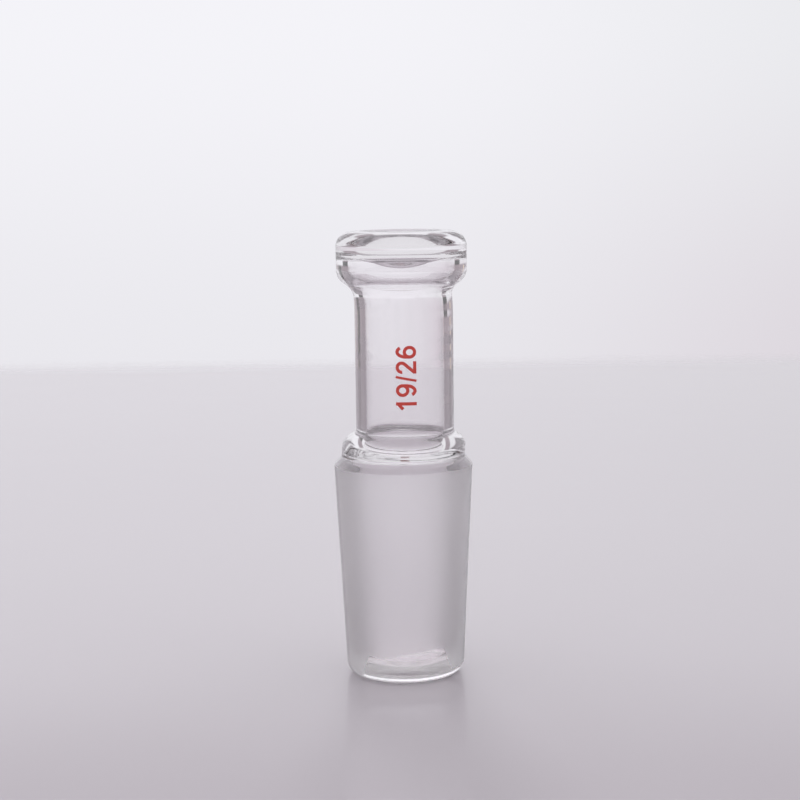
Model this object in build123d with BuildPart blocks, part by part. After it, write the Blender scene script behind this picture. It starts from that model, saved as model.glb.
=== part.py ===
"""Hollow blown-glass stopper with a 19/26 standard taper, standing on its small closed end.

The stopper is one piece of glass: a ground cone, a rounded shoulder, a plain neck and a
flanged head, closed at both ends over one sealed air space. It is a solid of revolution
about Z, with its origin at the centre of its base.
"""

from build123d import *
import os

# Overall sizes, in millimetres
total_height = 60.5
head_diameter = 17.6
neck_diameter = 13.3

# Standard taper: 1 in 10 on the diameter, with its large end uppermost
joint_large_diameter = 18.8
joint_length = 26.0
joint_taper = 0.1
clear_tip_length = 3.0  # unground glass below the ground length

# Bevel and shoulder above the joint
bevel_height = 1.1
bevel_inset = 1.0
shoulder_height = 2.55
shoulder_rise = 0.7  # from the shoulder's edge up to the neck

# Head, measured down from its top
head_edge_depth = 6.3
head_underside_drop = 1.3  # from the head's edge down to the neck
rim_width = 1.0  # flat ring round the dished top
top_dish_depth = 0.5

# Glass thickness
floor_thickness = 2.0
joint_wall = 1.95
shoulder_wall = 1.2
shoulder_roof = 2.3  # above the air space, under the shoulder
neck_wall = 1.35
head_wall = 1.6
head_roof = 2.75

# Air space in the head
head_hollow_height = 2.85
head_hollow_drop = 1.6  # from its edge down to the neck's bore
roof_edge_width = 0.5  # flat ring round the sagging roof
roof_sag = 2.2

# Rounding of each corner of the glass
foot_rounding = 1.7
joint_edge_rounding = 0.25
shoulder_rounding = 2.0
shoulder_root_rounding = 0.6
head_root_rounding = 2.0
head_under_rounding = 2.2
head_top_rounding = 2.0

# Rounding of each corner of the air space
floor_rounding = 2.2
joint_hollow_rounding = 0.6
shoulder_hollow_rounding = 0.8
neck_hollow_rounding = 0.9
head_throat_rounding = 2.4
head_hollow_rounding = 1.3
roof_rounding = 1.1

# Levels along the axis
joint_top = clear_tip_length + joint_length
shoulder_bottom = joint_top + bevel_height
shoulder_edge = shoulder_bottom + shoulder_height
neck_bottom = shoulder_edge + shoulder_rise
head_edge = total_height - head_edge_depth
neck_top = head_edge - head_underside_drop
roof_level = total_height - head_roof
head_hollow_edge = roof_level - head_hollow_height

# Radii of the glass
joint_radius = joint_large_diameter / 2
tip_radius = joint_radius - joint_taper / 2 * joint_top
shoulder_radius = joint_radius - bevel_inset
neck_radius = neck_diameter / 2
head_radius = head_diameter / 2
dish_radius = head_radius - head_top_rounding - rim_width

# Radii of the air space
floor_hollow_radius = tip_radius + joint_taper / 2 * floor_thickness - joint_wall
joint_hollow_radius = joint_radius - joint_wall
shoulder_hollow_radius = shoulder_radius - shoulder_wall
neck_hollow_radius = neck_radius - neck_wall
head_hollow_radius = head_radius - head_wall
roof_sag_radius = head_hollow_radius - roof_rounding - roof_edge_width

with BuildPart() as stopper:
    # The outside, as if the glass were solid, from the base's centre round to the dished top
    with BuildSketch(Plane.XZ):
        with BuildLine():
            FilletPolyline(
                (0, 0),
                (tip_radius, 0),
                (joint_radius, joint_top),
                (shoulder_radius, shoulder_bottom),
                (shoulder_radius, shoulder_edge),
                (neck_radius, neck_bottom),
                (neck_radius, neck_top),
                (head_radius, head_edge),
                (head_radius, total_height),
                (dish_radius, total_height),
                radius=[
                    foot_rounding,
                    joint_edge_rounding,
                    joint_edge_rounding,
                    shoulder_rounding,
                    shoulder_root_rounding,
                    head_root_rounding,
                    head_under_rounding,
                    head_top_rounding,
                ],
            )
            TangentArc(
                (0, total_height - top_dish_depth),
                (dish_radius, total_height),
                tangent=(1, 0),
            )
            Line((0, total_height - top_dish_depth), (0, 0))
        make_face()
    revolve(axis=Axis.Z)

    # The sealed air space, from the middle of its floor round to its sagging roof
    with BuildSketch(Plane.XZ):
        with BuildLine():
            FilletPolyline(
                (0, floor_thickness),
                (floor_hollow_radius, floor_thickness),
                (joint_hollow_radius, joint_top),
                (shoulder_hollow_radius, shoulder_edge - shoulder_roof),
                (neck_hollow_radius, neck_bottom - shoulder_roof),
                (neck_hollow_radius, head_hollow_edge - head_hollow_drop),
                (head_hollow_radius, head_hollow_edge),
                (head_hollow_radius, roof_level),
                (roof_sag_radius, roof_level),
                radius=[
                    floor_rounding,
                    joint_hollow_rounding,
                    shoulder_hollow_rounding,
                    neck_hollow_rounding,
                    head_throat_rounding,
                    head_hollow_rounding,
                    roof_rounding,
                ],
            )
            TangentArc(
                (0, roof_level - roof_sag),
                (roof_sag_radius, roof_level),
                tangent=(1, 0),
            )
            Line((0, roof_level - roof_sag), (0, floor_thickness))
        make_face()
    revolve(axis=Axis.Z, mode=Mode.SUBTRACT)

stopper.part.label = "stopper"

os.makedirs("parts", exist_ok=True)
export_step(stopper.part, "parts/stopper.step")
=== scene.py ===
"""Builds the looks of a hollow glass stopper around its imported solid: the glass, its red size marks and a studio.

Everything is in metres, with +Z up and the origin at the centre of the stopper's base.
"""

import bpy
import numpy as np
from bpy.props import FloatProperty, FloatVectorProperty, IntProperty, PointerProperty
from mathutils import Matrix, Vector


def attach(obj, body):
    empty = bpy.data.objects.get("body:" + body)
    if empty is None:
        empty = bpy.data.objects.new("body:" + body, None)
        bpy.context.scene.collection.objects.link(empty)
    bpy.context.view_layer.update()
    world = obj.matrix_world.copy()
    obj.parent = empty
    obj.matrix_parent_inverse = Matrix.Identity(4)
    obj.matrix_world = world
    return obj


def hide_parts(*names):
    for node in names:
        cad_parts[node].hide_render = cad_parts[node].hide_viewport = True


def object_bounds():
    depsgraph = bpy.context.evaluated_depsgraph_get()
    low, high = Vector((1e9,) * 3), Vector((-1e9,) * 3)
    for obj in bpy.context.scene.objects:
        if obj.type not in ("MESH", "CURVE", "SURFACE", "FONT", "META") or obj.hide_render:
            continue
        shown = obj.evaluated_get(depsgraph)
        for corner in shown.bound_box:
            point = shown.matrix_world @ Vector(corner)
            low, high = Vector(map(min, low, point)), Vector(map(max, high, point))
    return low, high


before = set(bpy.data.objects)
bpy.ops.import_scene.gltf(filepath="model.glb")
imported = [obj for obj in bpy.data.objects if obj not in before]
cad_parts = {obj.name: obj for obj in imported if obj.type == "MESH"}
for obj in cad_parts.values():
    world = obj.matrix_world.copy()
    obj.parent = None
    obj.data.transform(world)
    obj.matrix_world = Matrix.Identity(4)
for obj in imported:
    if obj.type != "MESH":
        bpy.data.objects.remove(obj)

bl_info = {
    "name": "Ground Glass Stopper",
    "version": (1, 0, 0),
    "blender": (4, 5, 0),
    "location": "3D View > Sidebar > Stopper",
    "description": "Hollow glass stopper with a ground taper, red size marks and a plain studio",
    "category": "Add Mesh",
}

CAD_NODE = "stopper"
CAD_BODY = "root"
CAD_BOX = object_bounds()
MM = 0.001
TO_DEGREES = 180 / np.pi


# Properties ---------------------------------------------------------------------------------


def length(name, millimetres, description):
    """A length property whose default is given in millimetres."""
    return FloatProperty(
        name=name, description=description, default=millimetres * MM, unit="LENGTH", precision=5
    )


def share(name, default, description, high=1.0):
    """A plain number from 0 to high."""
    return FloatProperty(name=name, description=description, default=default, min=0.0, max=high)


def degrees(name, default, description):
    """An angle whose default is given in degrees."""
    return FloatProperty(
        name=name, description=description, default=np.radians(default), subtype="ANGLE"
    )


def colour(name, default, description):
    """A colour in linear light."""
    return FloatVectorProperty(
        name=name, description=description, default=default, size=3, subtype="COLOR", min=0.0, max=1.0
    )


class StopperSizes(bpy.types.PropertyGroup):
    """The stopper's own sizes."""

    total_height: length("Total height", (CAD_BOX[1].z - CAD_BOX[0].z) / MM, "Base to the top of the rim")
    head_diameter: length("Head diameter", 17.6, "Across the flanged head")
    neck_diameter: length("Neck diameter", 13.3, "Across the neck")
    joint_large_diameter: length("Joint diameter", 18.8, "Large end of the ground taper")
    joint_length: length("Joint length", 26.0, "Ground length of the taper")
    joint_taper: share("Joint taper", 0.1, "Change in diameter for each unit of length")
    clear_tip_length: length("Clear tip", 3.0, "Unground glass below the ground length")
    bevel_height: length("Bevel height", 1.1, "Rise of the bevel above the joint")
    bevel_inset: length("Bevel inset", 1.0, "Step in from the joint to the shoulder")
    shoulder_height: length("Shoulder height", 2.55, "From the bevel to the shoulder's edge")
    shoulder_rise: length("Shoulder rise", 0.7, "From the shoulder's edge up to the neck")
    head_edge_depth: length("Head edge depth", 6.3, "From the top down to the head's lower edge")
    head_underside_drop: length("Underside drop", 1.3, "From the head's edge down to the neck")
    rim_width: length("Rim width", 1.0, "Flat ring round the dished top")
    top_dish_depth: length("Top dish", 0.5, "How far the middle of the top lies below its rim")
    floor_thickness: length("Floor thickness", 2.0, "Glass at the closed foot")
    joint_wall: length("Joint wall", 1.95, "Glass thickness of the ground taper")
    shoulder_wall: length("Shoulder wall", 1.2, "Glass thickness of the shoulder")
    shoulder_roof: length("Shoulder roof", 2.3, "Glass above the air space, under the shoulder")
    neck_wall: length("Neck wall", 1.35, "Glass thickness of the neck")
    head_wall: length("Head wall", 1.6, "Glass thickness round the head")
    head_roof: length("Head roof", 2.75, "Glass thickness over the head's air space")
    head_hollow_height: length("Head hollow height", 2.85, "Upright wall of the head's air space")
    head_hollow_drop: length("Head hollow drop", 1.6, "From that wall down to the neck's bore")
    roof_edge_width: length("Roof edge width", 0.5, "Flat ring round the sagging roof")
    roof_sag: length("Roof sag", 2.2, "How far the roof hangs down in its middle")


class StopperHandwork(bpy.types.PropertyGroup):
    """What glass-blowing leaves behind: lean, ripples and seam nibs."""

    neck_lean: length("Neck lean", 0.29, "How far the neck stands off the cone's axis")
    head_lean: length("Head lean", 0.04, "How far the head stands off the cone's axis")
    bore_ripple: length("Bore ripple", 0.035, "Depth of the ripples in the neck's bore")
    nib_height: length("Seam nib", 0.22, "Height of the two mould-seam nibs on the bevel")
    turns: IntProperty(name="Turns", description="Points round each ring", default=240, min=48, max=288)


class StopperFinish(bpy.types.PropertyGroup):
    """Clear glass, ground glass and enamel."""

    glass_ior: FloatProperty(name="Refractive index", description="Borosilicate glass", default=1.474)
    glass_tint: colour("Glass tint", (0.988, 0.975, 0.985), "Colour that each surface lets through")
    ground_roughness: share("Ground roughness", 0.68, "Blur of the ground taper")
    tip_roughness: share("Tip roughness", 0.16, "Blur of the unground tip")
    grain_size: length("Grain size", 0.16, "Width of one grain of the ground surface")
    grain_depth: length("Grain depth", 0.006, "Depth of the ground surface's grain")
    edge_tilt: share("Ground edge tilt", 0.17, "Slope of the ground band's lower edge")
    enamel: colour("Enamel", (0.86, 0.08, 0.06), "Colour of the size marks")
    mark_height: length("Mark height", 2.76, "Height of the numbers, which runs round the neck")
    mark_stroke: length("Mark stroke", 0.44, "Width of a number's stroke")
    mark_thickness: length("Enamel thickness", 0.03, "How far the enamel stands out")
    mark_start: length("Mark start", 37.2, "Level at which the numbers begin")


class StopperStage(bpy.types.PropertyGroup):
    """Floor, backdrop, lamps and camera."""

    floor_colour: colour("Floor colour", (0.62, 0.585, 0.625), "Semi-gloss bench top")
    floor_reach: length("Floor reach", 365.0, "From the stopper to the edge of the bench top")
    high_left: colour("Backdrop, high left", (0.905, 0.9, 0.94), "Pale backdrop above and to the left")
    high_right: colour("Backdrop, high right", (0.808, 0.81, 0.837), "Pale backdrop above and to the right")
    low_left: colour("Backdrop, low left", (0.815, 0.805, 0.845), "Pale backdrop below and to the left")
    low_right: colour("Backdrop, low right", (0.7, 0.65, 0.7), "Pale backdrop below and to the right")
    room: colour("Room", (0.2, 0.18, 0.2), "The room above the backdrop")
    overhead: colour("Overhead", (1.0, 0.985, 1.0), "The soft light overhead")
    overhead_seen: colour("Overhead, seen", (0.78, 0.77, 0.8), "The same and the room, as clear glass shows them")
    back_light: FloatProperty(
        name="Back light", description="Strength of the low light from behind", default=1.8, min=0.0
    )
    back_light_width: degrees("Back light width", 26.0, "How wide the low light looks from the bench")
    back_light_rise: degrees("Back light rise", 17.0, "How high the low light stands")
    back_light_bearing: degrees("Back light bearing", 3.0, "How far to the left it stands")
    dark_side: share("Dark side", 0.1, "The room's dark sides, which only the thick of the glass shows")
    low_side: colour("Low side", (0.36, 0.31, 0.34), "The same, below the backdrop")
    # Painted light: colour of the glow that the bench top emits right under the stopper, which only rays through the
    # glass see.
    gathered: colour("Gathered light", (0.5, 0.475, 0.5), "Light that the glass gathers on the bench under it")
    bench_light: share("Bench light", 1.2, "Strength of the surroundings as light on matt surfaces", 3.0)
    ground_light: share("Ground light", 1.32, "Strength of the surroundings as ground glass shows them", 3.0)
    glow: colour("Glow", (0.85, 0.7, 0.55), "A warm lamp low on the right, which only the glass shows")
    camera_distance: length("Camera distance", 253.7, "From the stopper's axis to the camera")
    camera_height: length("Camera height", 72.6, "Camera above the floor")
    camera_pitch: degrees("Camera pitch", 7.844, "How far the camera looks down")
    camera_yaw: degrees("Camera yaw", -0.08, "How far the camera looks past the axis")
    camera_roll: degrees("Camera roll", 0.741, "How far the camera leans to the right")
    focal_length: FloatProperty(name="Lens", description="Focal length in millimetres", default=85.0)


# Shapes ------------------------------------------------------------------------------------


def rounded_outline(corners, roundings, step=0.5 * MM, arc_step=0.16 * MM):
    """Points along an open outline whose inner corners are rounded.

    An arc touches both runs at rounding / tan(half the corner's angle) from the corner, and its centre lies on the
    corner's bisector, at rounding / sin(half the angle). Each run and each arc is divided evenly.
    """
    corners = np.asarray(corners, float)
    middle, size = corners[1:-1], np.asarray(roundings, float)[:, None]
    before = corners[:-2] - middle
    after = corners[2:] - middle
    before /= np.linalg.norm(before, axis=1, keepdims=True)
    after /= np.linalg.norm(after, axis=1, keepdims=True)
    half = np.arccos(np.clip((before * after).sum(1, keepdims=True), -1, 1)) / 2
    reach = size / np.tan(half)
    bisector = (before + after) / np.linalg.norm(before + after, axis=1, keepdims=True)
    centres = middle + bisector * size / np.sin(half)
    starts, ends = middle + before * reach, middle + after * reach
    first = np.arctan2(*(starts - centres).T[::-1])
    turn = np.arctan2(*(ends - centres).T[::-1]) - first
    turn = (turn + np.pi) % (2 * np.pi) - np.pi
    run_from = np.vstack([corners[:1], ends])
    run_to = np.vstack([starts, corners[-1:]])
    points = []
    for i, (a, b) in enumerate(zip(run_from, run_to)):
        count = max(1, round(np.linalg.norm(b - a) / step))
        points.append(a + (b - a) * np.linspace(0, 1, count, endpoint=False)[:, None])
        if i < len(turn):
            count = max(3, round(abs(turn[i]) * roundings[i] / arc_step))
            angle = first[i] + turn[i] * np.linspace(0, 1, count, endpoint=False)
            points.append(centres[i] + roundings[i] * np.stack([np.cos(angle), np.sin(angle)], 1))
    return np.vstack([*points, corners[-1:]])


def bowl(edge_radius, depth, level, step=0.5 * MM):
    """A shallow bowl's section from its edge in to the axis.

    The section is a circle of radius (edge^2 + depth^2) / (2 depth), level on the axis, where it is deepest.
    """
    circle = (edge_radius**2 + depth**2) / (2 * depth)
    radius = np.linspace(edge_radius, 0, max(4, round(edge_radius / step)))[1:]
    return np.stack([radius, level - depth + circle - np.sqrt(circle**2 - radius**2)], 1)


def glass_outline(s):
    """Radius and height along the outside, from the middle of the base to the middle of the dished top."""
    joint_radius, head_radius = s.joint_large_diameter / 2, s.head_diameter / 2
    joint_top = s.clear_tip_length + s.joint_length
    shoulder_radius = joint_radius - s.bevel_inset
    shoulder_bottom = joint_top + s.bevel_height
    shoulder_edge = shoulder_bottom + s.shoulder_height
    head_edge = s.total_height - s.head_edge_depth
    head_top_rounding = 2.0 * MM
    dish_radius = head_radius - head_top_rounding - s.rim_width
    side = rounded_outline(
        [
            (0, 0),
            (joint_radius - s.joint_taper / 2 * joint_top, 0),
            (joint_radius, joint_top),
            (shoulder_radius, shoulder_bottom),
            (shoulder_radius, shoulder_edge),
            (s.neck_diameter / 2, shoulder_edge + s.shoulder_rise),
            (s.neck_diameter / 2, head_edge - s.head_underside_drop),
            (head_radius, head_edge),
            (head_radius, s.total_height),
            (dish_radius, s.total_height),
        ],
        [1.7 * MM, 0.25 * MM, 0.25 * MM, 2.0 * MM, 0.6 * MM, 2.0 * MM, 2.2 * MM, head_top_rounding],
    )
    return np.vstack([side, bowl(dish_radius, s.top_dish_depth, s.total_height)])


def hollow_outline(s):
    """Radius and height along the sealed air space, from the middle of its floor to the middle of its roof."""
    joint_radius = s.joint_large_diameter / 2
    joint_top = s.clear_tip_length + s.joint_length
    tip_radius = joint_radius - s.joint_taper / 2 * joint_top
    shoulder_radius = joint_radius - s.bevel_inset - s.shoulder_wall
    shoulder_edge = joint_top + s.bevel_height + s.shoulder_height
    bore_radius = s.neck_diameter / 2 - s.neck_wall
    head_radius = s.head_diameter / 2 - s.head_wall
    roof = s.total_height - s.head_roof
    roof_rounding = 1.1 * MM
    sag_radius = head_radius - roof_rounding - s.roof_edge_width
    side = rounded_outline(
        [
            (0, s.floor_thickness),
            (tip_radius + s.joint_taper / 2 * s.floor_thickness - s.joint_wall, s.floor_thickness),
            (joint_radius - s.joint_wall, joint_top),
            (shoulder_radius, shoulder_edge - s.shoulder_roof),
            (bore_radius, shoulder_edge + s.shoulder_rise - s.shoulder_roof),
            (bore_radius, roof - s.head_hollow_height - s.head_hollow_drop),
            (head_radius, roof - s.head_hollow_height),
            (head_radius, roof),
            (sag_radius, roof),
        ],
        [2.2 * MM, 0.6 * MM, 0.8 * MM, 0.9 * MM, 2.4 * MM, 1.3 * MM, roof_rounding],
    )
    return np.vstack([side, bowl(sag_radius, s.roof_sag, roof)])


def smooth_step(value, low, high):
    """0 below low, 1 above high and 3t^2 - 2t^3 between them."""
    t = np.clip((value - low) / (high - low), 0, 1)
    return t * t * (3 - 2 * t)


def lean_of(height, hand):
    """Sideways place of the axis at each height: none in the cone, then the neck's lean, then the head's."""
    neck = smooth_step(height, 30 * MM, 34 * MM)
    head = smooth_step(height, 50 * MM, 54 * MM)
    return hand.neck_lean * neck + (hand.head_lean - hand.neck_lean) * head


def turned(outline, turns, radial=None):
    """A grid of points: the outline's points along u, turned about Z through angle v.

    The place at (u, v) is (r cos v, r sin v, z), where r is the outline's radius plus radial(z, v).
    """
    angle = np.linspace(0, 2 * np.pi, turns, endpoint=False)
    radius, height = (np.repeat(outline[:, i : i + 1], turns, 1) for i in (0, 1))
    around = np.broadcast_to(angle, radius.shape)
    if radial is not None:
        radius = radius + radial(height, around)
    return np.stack([radius * np.cos(around), radius * np.sin(around), height], 2)


def closed_shell(grid, inward=False):
    """Vertices and faces of a turned grid whose first and last rows are single points on the axis.

    Quads join neighbouring rings and triangles close both poles. inward turns every face round.
    """
    rings, turns = grid.shape[0] - 2, grid.shape[1]
    vertices = np.vstack([grid[1:-1].reshape(-1, 3), grid[0, :1], grid[-1, :1]])
    here = np.arange(turns)
    after = (here + 1) % turns
    low = (np.arange(rings - 1) * turns)[:, None]
    quads = np.stack([low + here, low + after, low + turns + after, low + turns + here], 2).reshape(-1, 4)
    foot, top = rings * turns, rings * turns + 1
    last = (rings - 1) * turns
    caps = np.vstack(
        [
            np.stack([np.full(turns, foot), after, here], 1),
            np.stack([np.full(turns, top), last + here, last + after], 1),
        ]
    )
    if inward:
        quads, caps = quads[:, ::-1], caps[:, ::-1]
    return vertices, [*quads.tolist(), *caps.tolist()]


def joined(parts):
    """One set of vertices and faces from several."""
    vertices, faces, start = [], [], 0
    for points, polygons in parts:
        vertices.append(points)
        faces += [[start + i for i in polygon] for polygon in polygons]
        start += len(points)
    return np.vstack(vertices), faces


def new_piece(name, vertices, faces, material, smooth=True):
    """A mesh object at the origin with its place in its mesh."""
    mesh = bpy.data.meshes.new(name)
    mesh.from_pydata(vertices.tolist(), [], faces)
    mesh.update()
    if smooth:
        mesh.shade_smooth()
    mesh.materials.append(material)
    piece = bpy.data.objects.new(name, mesh)
    bpy.context.scene.collection.objects.link(piece)
    return piece


# Materials ---------------------------------------------------------------------------------


class Nodes:
    """A short way to write a node tree."""

    def __init__(self, tree):
        self.tree = tree
        tree.nodes.clear()

    def add(self, kind, inputs=(), **settings):
        """A node of this kind. inputs maps a socket's name or index to a value or to another node's socket."""
        node = self.tree.nodes.new(kind)
        for key, value in settings.items():
            setattr(node, key, value)
        for key, value in dict(inputs).items():
            if isinstance(value, bpy.types.NodeSocket):
                self.tree.links.new(value, node.inputs[key])
            else:
                node.inputs[key].default_value = value
        return node

    def maths(self, operation, *values, clamp=False):
        """The output of a Math node on these values or sockets."""
        node = self.add("ShaderNodeMath", dict(enumerate(values)), operation=operation, use_clamp=clamp)
        return node.outputs[0]

    def ramp(self, value, low, high):
        """A socket that rises smoothly from 0 at low to 1 at high."""
        node = self.add(
            "ShaderNodeMapRange",
            {"Value": value, "From Min": low, "From Max": high},
            interpolation_type="SMOOTHSTEP",
        )
        return node.outputs["Result"]


def new_material(name):
    """An empty node material and the short way to write its nodes."""
    material = bpy.data.materials.new(name)
    material.use_nodes = True
    return material, Nodes(material.node_tree)


def stopper_glass(sizes, finish):
    """Clear glass whose taper is ground between a wavering lower edge and the joint's top."""
    material, nodes = new_material("stopper_glass")
    place = nodes.add("ShaderNodeTexCoord").outputs["Object"]
    axes = nodes.add("ShaderNodeSeparateXYZ", {"Vector": place}).outputs
    waver = nodes.add(
        "ShaderNodeTexNoise", {"Vector": place, "Scale": 0.25 / MM, "Detail": 2.0}
    ).outputs["Fac"]
    grain = nodes.add(
        "ShaderNodeTexNoise", {"Vector": place, "Scale": 1 / finish.grain_size, "Detail": 3.0}
    ).outputs["Fac"]
    patch = nodes.add(
        "ShaderNodeTexNoise", {"Vector": place, "Scale": 0.12 / MM, "Detail": 3.0}
    ).outputs["Fac"]

    joint_top = sizes.clear_tip_length + sizes.joint_length
    middle = sizes.clear_tip_length + 1.2 * MM
    tilted = nodes.maths("MULTIPLY_ADD", axes["X"], -finish.edge_tilt, axes["Z"])
    flank = nodes.ramp(nodes.maths("ABSOLUTE", axes["X"]), 4.8 * MM, 6.4 * MM)
    tilted = nodes.maths("MULTIPLY_ADD", flank, 4 * MM, tilted)
    edge = nodes.maths("MULTIPLY_ADD", waver, 1.4 * MM, middle - 0.7 * MM)
    above_edge = nodes.ramp(nodes.maths("SUBTRACT", tilted, edge), -0.1 * MM, 0.25 * MM)
    below_top = nodes.ramp(axes["Z"], joint_top + 0.05 * MM, joint_top - 0.1 * MM)
    flat = nodes.add("ShaderNodeVectorMath", {0: place, 1: (1, 1, 0)}, operation="MULTIPLY").outputs[0]
    radius = nodes.add("ShaderNodeVectorMath", {0: flat}, operation="LENGTH").outputs["Value"]
    foot_radius = (sizes.joint_large_diameter - sizes.joint_taper * joint_top) / 2
    depth = nodes.maths("MULTIPLY_ADD", axes["Z"], -sizes.joint_taper / 2, radius)
    outermost = nodes.maths("GREATER_THAN", depth, foot_radius - sizes.joint_wall / 2)
    ground = nodes.maths("MULTIPLY", nodes.maths("MULTIPLY", above_edge, below_top), outermost)
    uneven = nodes.maths("MULTIPLY_ADD", patch, 0.16, finish.ground_roughness - 0.08)

    tip = nodes.maths("MULTIPLY", nodes.ramp(axes["Z"], 8 * MM, 7 * MM), finish.tip_roughness)
    roughness = nodes.maths("MAXIMUM", nodes.maths("MULTIPLY", ground, uneven), tip)

    bump = nodes.add(
        "ShaderNodeBump", {"Height": nodes.maths("MULTIPLY", grain, ground), "Distance": finish.grain_depth}
    )
    glass = nodes.add(
        "ShaderNodeBsdfPrincipled",
        {
            "Base Color": (*finish.glass_tint, 1),
            "Roughness": roughness,
            "IOR": finish.glass_ior,
            "Transmission Weight": 1.0,
            "Normal": bump.outputs["Normal"],
        },
    )
    nodes.add("ShaderNodeOutputMaterial", {"Surface": glass.outputs[0]})
    return material


def red_enamel(finish):
    """Fired enamel: a strong red with a slightly uneven, satin skin."""
    material, nodes = new_material("red_enamel")
    place = nodes.add("ShaderNodeTexCoord").outputs["Object"]
    mottle = nodes.add(
        "ShaderNodeTexNoise", {"Vector": place, "Scale": 3.0 / MM, "Detail": 3.0}
    ).outputs["Fac"]
    paint = nodes.add(
        "ShaderNodeMix",
        {"Factor": mottle, 6: (*finish.enamel, 1), 7: (*(0.72 * c for c in finish.enamel), 1)},
        data_type="RGBA",
    )
    bump = nodes.add("ShaderNodeBump", {"Height": mottle, "Distance": 0.01 * MM, "Strength": 0.5})
    skin = nodes.add(
        "ShaderNodeBsdfPrincipled",
        {
            "Base Color": paint.outputs[2],
            "Roughness": nodes.maths("MULTIPLY_ADD", mottle, 0.2, 0.3),
            "Normal": bump.outputs["Normal"],
        },
    )
    nodes.add("ShaderNodeOutputMaterial", {"Surface": skin.outputs[0]})
    return material


# The size marks ----------------------------------------------------------------------------


def straight(x0, y0, x1, y1, count=12):
    """Evenly spaced points from one place to another."""
    return np.stack([np.linspace(x0, x1, count), np.linspace(y0, y1, count)], 1)


def sweep(x, y, width, height, start, end, count=36):
    """Points on an ellipse about (x, y), from one angle to another in degrees."""
    angle = np.radians(np.linspace(start, end, count))
    return np.stack([x + width * np.cos(angle), y + height * np.sin(angle)], 1)


def one():
    """A stem with a flag."""
    return [straight(0.83, 0.0, 0.83, 2.76), straight(0.10, 1.82, 0.86, 2.50)]


def two():
    """A hook that runs into a spine, over a base bar."""
    hook = sweep(0.84, 1.96, 0.60, 0.58, 188, -38)
    return [np.vstack([hook, straight(1.18, 1.44, 0.24, 0.34)]), straight(0.02, 0.22, 1.66, 0.22)]


def nine():
    """A closed bowl and a tail that hooks under it."""
    bowl_loop = sweep(0.84, 1.86, 0.63, 0.68, 0, 360, 64)
    tail = np.vstack([straight(1.47, 1.86, 1.47, 1.40, 6), sweep(0.79, 1.40, 0.68, 1.18, 0, -138)[1:]])
    return [bowl_loop, tail]


def six():
    """A nine turned half round."""
    return [np.array([1.69, 2.76]) - stroke for stroke in nine()]


def slash():
    """One leaning bar."""
    return [straight(0.0, 0.0, 0.53, 2.76)]


def ribbon(path, width, thickness, sunk):
    """A domed ribbon along a flat path: (along, across, height) on a grid, then its closed faces.

    The section at v is (width/2 cos v, thickness sin v) for its upper half and lies flat, sunk below zero, underneath.
    A path that ends where it starts closes on itself, and any other gets flat ends.
    """
    loop = np.allclose(path[0], path[-1])
    if loop:
        path = path[:-1]
        ahead = np.roll(path, -1, 0) - np.roll(path, 1, 0)
    else:
        ahead = np.gradient(path, axis=0)
    ahead /= np.linalg.norm(ahead, axis=1, keepdims=True)
    side = np.stack([-ahead[:, 1], ahead[:, 0]], 1)
    v = np.linspace(0, np.pi, 7)
    across = np.concatenate([[width / 2], width / 2 * np.cos(v), [-width / 2]])
    height = np.concatenate([[-sunk], thickness * np.sin(v) ** 0.5, [-sunk]])
    flat = path[:, None, :] + side[:, None, :] * across[None, :, None]
    grid = np.concatenate([flat, np.broadcast_to(height, flat.shape[:2])[:, :, None]], 2)
    rows, columns = grid.shape[:2]
    here = np.arange(rows if loop else rows - 1)[:, None]
    after = (here + 1) % rows
    a, b = np.arange(columns), (np.arange(columns) + 1) % columns
    quads = np.stack([here * columns + a, here * columns + b, after * columns + b, after * columns + a], 2)
    faces = quads.reshape(-1, 4).tolist()
    if not loop:
        faces += [a[::-1].tolist(), (a + (rows - 1) * columns).tolist()]
    return grid.reshape(-1, 3), faces


def wrapped(points, radius, start, middle, lean):
    """Bends flat marks onto the neck: along runs up the neck, across runs round it and height runs outwards.

    A point (x, y, h) goes to angle -90 degrees - (y - middle) / radius, at radius + h and level start + x.
    """
    angle = -np.pi / 2 - (points[:, 1] - middle) / radius
    out = radius + points[:, 2]
    return np.stack([lean + out * np.cos(angle), out * np.sin(angle), start + points[:, 0]], 1)


# Operators ---------------------------------------------------------------------------------


class StopperOperator:
    """What the stopper's operators share."""

    bl_options = {"REGISTER", "UNDO"}

    @classmethod
    def poll(cls, context):
        return context.scene is not None


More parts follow.
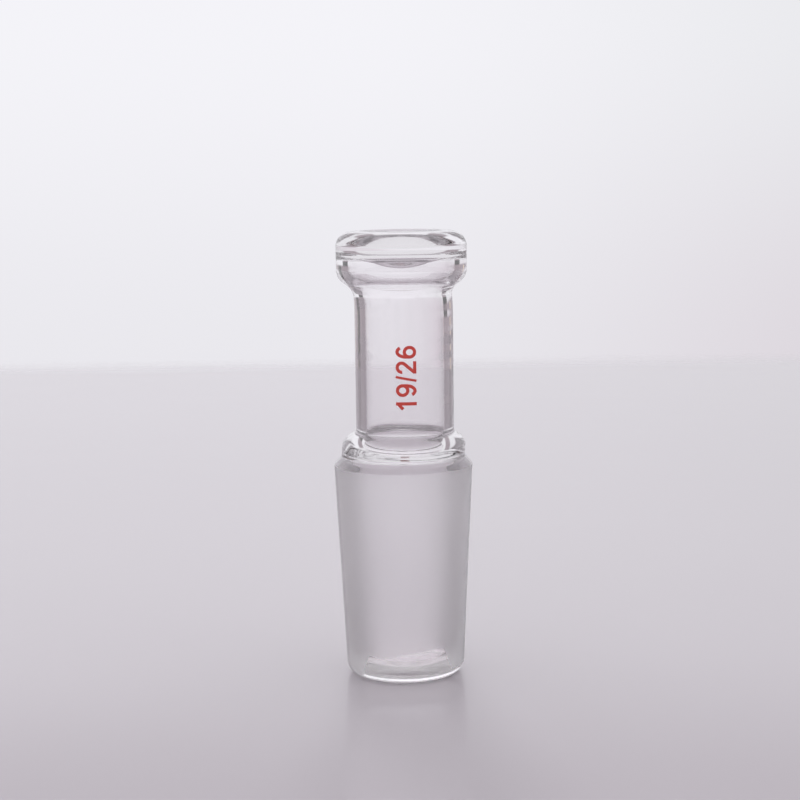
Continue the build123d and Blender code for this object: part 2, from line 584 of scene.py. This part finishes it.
class STOPPER_OT_glass(StopperOperator, bpy.types.Operator):
    """Blow the hollow glass and grind its taper"""

    bl_idname = "stopper.glass"
    bl_label = "Glass Body"

    def execute(self, context):
        sizes, hand = context.scene.stopper_sizes, context.scene.stopper_handwork
        bevel = sizes.clear_tip_length + sizes.joint_length + 0.4 * MM
        neck_low, neck_high = 33 * MM, 53 * MM

        def nibs(height, angle):
            """Two small bumps on the bevel, before and behind, each a bell curve in height and angle."""
            seam = np.exp(-((np.cos(angle - np.radians(1.5)) / 0.055) ** 2))
            return hand.nib_height * seam * np.exp(-(((height - bevel) / (0.5 * MM)) ** 2))

        def ripples(height, angle):
            """Long waves up the bore and a few round it, which fade out at both ends of the neck."""
            inside = smooth_step(height, neck_low, neck_low + 3 * MM)
            inside = inside * (1 - smooth_step(height, neck_high - 4 * MM, neck_high))
            up = np.sin(height / (0.9 * MM) + 2 * np.sin(angle)) + 0.6 * np.sin(height / (0.37 * MM) + 1)
            side = 0.25 + 0.75 * np.exp(-((angle - np.radians(345)) ** 2) / 0.3)
            return hand.bore_ripple * inside * (np.cos(3 * angle + 0.6) + 0.35 * up * side)

        outside = turned(glass_outline(sizes), hand.turns, nibs)
        hollow = turned(hollow_outline(sizes), hand.turns, ripples)
        for grid in (outside, hollow):
            grid[..., 0] += lean_of(grid[..., 2], hand)
        vertices, faces = joined([closed_shell(outside), closed_shell(hollow, inward=True)])
        piece = new_piece("glass_body", vertices, faces, stopper_glass(sizes, context.scene.stopper_finish))
        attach(piece, CAD_BODY)
        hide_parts(CAD_NODE)
        return {"FINISHED"}


class STOPPER_OT_marks(StopperOperator, bpy.types.Operator):
    """Print the joint's size numbers up the neck"""

    bl_idname = "stopper.marks"
    bl_label = "Size Marks"

    def execute(self, context):
        sizes, finish = context.scene.stopper_sizes, context.scene.stopper_finish
        hand = context.scene.stopper_handwork
        marks = [(one, 0.0, 1.0), (nine, 1.77, 1.0), (slash, 3.88, 0.74), (two, 4.82, 1.0), (six, 6.84, 1.0)]
        scale = finish.mark_height / 2.76
        strokes = []
        for mark, along, weight in marks:
            for stroke in mark():
                path = (stroke + np.array([along, 0.0])) * scale
                strokes.append(ribbon(path, finish.mark_stroke * weight, finish.mark_thickness, 0.006 * MM))
        vertices, faces = joined(strokes)
        lean = lean_of(np.array(finish.mark_start), hand)
        middle = finish.mark_height / 2 + 0.21 * MM
        vertices = wrapped(vertices, sizes.neck_diameter / 2, finish.mark_start, middle, lean)
        piece = new_piece("size_marks", vertices, faces, red_enamel(finish))
        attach(piece, CAD_BODY)
        return {"FINISHED"}


class STOPPER_OT_stage(StopperOperator, bpy.types.Operator):
    """Set out the bench top, the backdrop, the lamps and the camera"""

    bl_idname = "stopper.stage"
    bl_label = "Stage"

    def execute(self, context):
        stage = context.scene.stopper_stage
        lay_floor(stage)
        hang_backdrop(stage)
        hang_back_light(stage)
        set_light_paths()
        place_camera(stage)
        return {"FINISHED"}


# The stage ---------------------------------------------------------------------------------


def lay_floor(stage):
    """A square bench top: rows and columns at shares of its reach, at floor level."""
    across = np.array([-1.06, -0.5, -0.15, -0.04, 0.04, 0.15, 0.5, 1.06]) * stage.floor_reach
    count = len(across)
    grid = np.stack([*np.meshgrid(across, across), np.full((count, count), -0.03 * MM)], 2)
    here = np.arange(count - 1) + (np.arange(count - 1) * count)[:, None]
    quads = np.stack([here, here + 1, here + count + 1, here + count], 2).reshape(-1, 4)
    floor = new_piece("bench_top", grid.reshape(-1, 3), quads.tolist(), bench_top(stage), smooth=False)


def through_glass(nodes):
    """1 for light that has turned back inside the glass and come out again, and 0 for any other."""
    path = nodes.add("ShaderNodeLightPath").outputs
    turned_back = nodes.maths("GREATER_THAN", path["Glossy Depth"], 0.5)
    came_out = nodes.maths("GREATER_THAN", path["Transmission Depth"], 1.5)
    return nodes.maths("MULTIPLY", turned_back, came_out)


def folded(nodes, bearing):
    """A bearing in degrees, brought to within 45 of the nearest of four ways at right angles."""
    return nodes.maths("SUBTRACT", nodes.maths("FLOORED_MODULO", nodes.maths("ADD", bearing, 45), 90), 45)


def bench_top(stage):
    """Pale semi-gloss board whose edges fade out softly, with painted shade and a painted glow for rays through the
    glass.
    """
    material, nodes = new_material("bench_top")
    place = nodes.add("ShaderNodeTexCoord").outputs["Object"]
    axes = nodes.add("ShaderNodeSeparateXYZ", {"Vector": place}).outputs
    cloud = nodes.add("ShaderNodeTexNoise", {"Vector": place, "Scale": 20.0, "Detail": 3.0}).outputs["Fac"]
    # Painted shade: light that has turned back inside the glass and come out again sees the board darker, more so in
    # stripes 6 to 31 degrees off each way and less so close behind the stopper.
    bearing = nodes.maths("MULTIPLY", nodes.maths("ARCTAN2", axes["X"], axes["Y"]), TO_DEGREES)
    off = nodes.maths("ABSOLUTE", folded(nodes, bearing))
    stripe = nodes.maths("MULTIPLY", nodes.ramp(off, 6, 11), nodes.ramp(off, 31, 26))
    from_axis = nodes.add("ShaderNodeVectorMath", {0: place}, operation="LENGTH").outputs["Value"]
    close = nodes.maths("MULTIPLY", nodes.ramp(axes["Y"], 20 * MM, 50 * MM), nodes.ramp(from_axis, 130 * MM, 90 * MM))
    painted_dimming = nodes.maths("MULTIPLY_ADD", stripe, 0.25, 0.42)
    painted_dimming = nodes.maths("MULTIPLY", painted_dimming, nodes.maths("SUBTRACT", 1.0, close))
    shade = nodes.maths("SUBTRACT", 1.0, nodes.maths("MULTIPLY", through_glass(nodes), painted_dimming))
    # Painted light: the board emits a glow within about 8 mm of the axis, only for rays that have passed through the
    # glass.
    inside = nodes.add("ShaderNodeLightPath").outputs["Transmission Depth"]
    gathered = nodes.maths(
        "MULTIPLY", nodes.ramp(from_axis, 9 * MM, 7.5 * MM), nodes.maths("GREATER_THAN", inside, 0.5)
    )
    paint = nodes.add("ShaderNodeVectorMath", {0: stage.floor_colour, "Scale": shade}, operation="SCALE")
    board = nodes.add(
        "ShaderNodeBsdfPrincipled",
        {
            "Base Color": paint.outputs[0],
            "IOR": 1.65,
            "Roughness": nodes.maths("MULTIPLY_ADD", cloud, 0.05, 0.11),
            "Emission Color": (*stage.gathered, 1),
            "Emission Strength": gathered,
        },
    )
    out = nodes.maths("MAXIMUM", *(nodes.maths("ABSOLUTE", axes[axis]) for axis in "XY"))
    gone = nodes.ramp(out, 0.93 * stage.floor_reach, 1.05 * stage.floor_reach)
    clear = nodes.add("ShaderNodeBsdfTransparent")
    surface = nodes.add("ShaderNodeMixShader", {0: gone, 1: board.outputs[0], 2: clear.outputs[0]})
    nodes.add("ShaderNodeOutputMaterial", {"Surface": surface.outputs[0]})
    return material


def hang_backdrop(stage):
    """The surroundings, by direction: a pale backdrop, the dimmer room over it and a soft light overhead.

    way is the bearing from straight behind the stopper and level the height above the horizon, in degrees. The
    room's dark sides lie 33 degrees and more to either side of each of the four ways that the stopper is seen from.
    """
    world = bpy.data.worlds.new("surroundings")
    bpy.context.scene.world = world
    world.use_nodes = True
    nodes = Nodes(world.node_tree)
    axes = nodes.add("ShaderNodeSeparateXYZ", {0: nodes.add("ShaderNodeTexCoord").outputs["Generated"]}).outputs
    way = nodes.maths("MULTIPLY", nodes.maths("ARCTAN2", axes["X"], axes["Y"]), TO_DEGREES)
    level = nodes.maths("MULTIPLY", nodes.maths("ARCSINE", axes["Z"]), TO_DEGREES)

    def blend(amount, a, b):
        """Colour a at 0 and colour b at 1, from colours or sockets."""
        inputs = {key: value if isinstance(value, bpy.types.NodeSocket) else (*value, 1) for key, value in ((6, a), (7, b))}
        return nodes.add("ShaderNodeMix", {0: amount, **inputs}, data_type="RGBA").outputs[2]

    rightward = nodes.ramp(way, -2, 18)
    low = blend(rightward, stage.low_left, stage.low_right)
    high = blend(rightward, stage.high_left, stage.high_right)
    pale = blend(nodes.ramp(level, -8, 4), low, high)

    fold = folded(nodes, way)
    aside = nodes.maths("ABSOLUTE", fold)
    dark = blend(nodes.ramp(level, 2.5, 4.5), [stage.dark_side] * 3, stage.low_side)
    side = blend(nodes.ramp(aside, 33, 37), pale, dark)
    stripe = nodes.maths("MULTIPLY", nodes.ramp(fold, -8, -13), nodes.ramp(fold, -30, -25))
    under = blend(stripe, stage.low_side, [stage.dark_side] * 3)
    glow = nodes.maths("MULTIPLY", nodes.ramp(nodes.maths("ABSOLUTE", nodes.maths("SUBTRACT", way, 14)), 5, 1),
                       nodes.ramp(nodes.maths("ABSOLUTE", nodes.maths("ADD", level, 5.4)), 1.6, 0.6))
    under = blend(glow, under, stage.glow)
    sides = blend(nodes.ramp(level, -2.5, -4.5), side, under)
    path = nodes.add("ShaderNodeLightPath").outputs
    off_bench = blend(nodes.maths("GREATER_THAN", path["Glossy Depth"], 1.5), pale, stage.low_side)
    sides = blend(path["Is Reflection Ray"], sides, off_bench)
    around = blend(through_glass(nodes), pale, sides)
    sharp = nodes.maths("MAXIMUM", path["Is Camera Ray"], path["Is Singular Ray"])
    above = blend(nodes.ramp(level, 40, 56), stage.room, stage.overhead)
    above = blend(sharp, above, stage.overhead_seen)
    sky = blend(nodes.ramp(level, 15.8, 19.4), around, above)

    blurred = nodes.maths("MULTIPLY", path["Is Transmission Ray"], nodes.maths("SUBTRACT", 1.0, sharp))
    strength = nodes.maths("MULTIPLY_ADD", path["Is Diffuse Ray"], stage.bench_light - 1, 1.0)
    strength = nodes.maths("MULTIPLY_ADD", blurred, stage.ground_light - 1, strength)
    shade = nodes.add("ShaderNodeBackground", {"Color": sky, "Strength": strength})
    nodes.add("ShaderNodeOutputWorld", {"Surface": shade.outputs[0]})


def hang_back_light(stage):
    """A low soft light from behind and a little to the left, which only matt surfaces show."""
    lamp = bpy.data.lights.new("back_light", "SUN")
    lamp.energy, lamp.angle = stage.back_light, stage.back_light_width
    holder = bpy.data.objects.new("back_light", lamp)
    holder.rotation_euler = (stage.back_light_rise - np.pi / 2, 0, stage.back_light_bearing)
    holder.visible_camera = holder.visible_glossy = holder.visible_transmission = False
    bpy.context.scene.collection.objects.link(holder)


def set_light_paths():
    """Lets light turn back often enough inside the glass to come out again."""
    cycles = bpy.context.scene.cycles
    cycles.max_bounces = 28
    cycles.glossy_bounces = 16
    cycles.transmission_bounces = 24
    cycles.transparent_max_bounces = 16


def place_camera(stage):
    """A camera in front of the stopper, looking slightly down and leaning to the right."""
    lens = bpy.data.cameras.new("camera")
    lens.lens = stage.focal_length
    camera = bpy.data.objects.new("camera", lens)
    bpy.context.scene.collection.objects.link(camera)
    turn = Matrix.Rotation(-stage.camera_yaw, 4, "Z") @ Matrix.Rotation(np.pi / 2 - stage.camera_pitch, 4, "X")
    turn = turn @ Matrix.Rotation(-stage.camera_roll, 4, "Z")
    camera.matrix_world = Matrix.Translation((0, -stage.camera_distance, stage.camera_height)) @ turn
    bpy.context.scene.camera = camera


# The panel and the add-on's registration ----------------------------------------------------


class STOPPER_PT_panel(bpy.types.Panel):
    """The stopper's pieces and their settings"""

    bl_label = "Glass Stopper"
    bl_space_type = "VIEW_3D"
    bl_region_type = "UI"
    bl_category = "Stopper"

    def draw(self, context):
        for operator, group in PIECES:
            box = self.layout.box()
            box.operator(operator)
            settings = getattr(context.scene, group)
            for name in settings.__annotations__:
                box.prop(settings, name)


GROUPS = {
    "stopper_sizes": StopperSizes,
    "stopper_handwork": StopperHandwork,
    "stopper_finish": StopperFinish,
    "stopper_stage": StopperStage,
}
PIECES = [
    ("stopper.glass", "stopper_sizes"),
    ("stopper.marks", "stopper_finish"),
    ("stopper.stage", "stopper_stage"),
]
CLASSES = (*GROUPS.values(), STOPPER_OT_glass, STOPPER_OT_marks, STOPPER_OT_stage, STOPPER_PT_panel)


def register():
    for cls in CLASSES:
        bpy.utils.register_class(cls)
    for name, group in GROUPS.items():
        setattr(bpy.types.Scene, name, PointerProperty(type=group))


def unregister():
    for name in GROUPS:
        delattr(bpy.types.Scene, name)
    for cls in reversed(CLASSES):
        bpy.utils.unregister_class(cls)


def main():
    """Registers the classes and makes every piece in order."""
    register()
    view = bpy.context.scene.view_settings
    view.view_transform = "Standard"
    bpy.ops.stopper.glass()
    bpy.ops.stopper.marks()
    bpy.ops.stopper.stage()


if __name__ == "__main__":
    main()
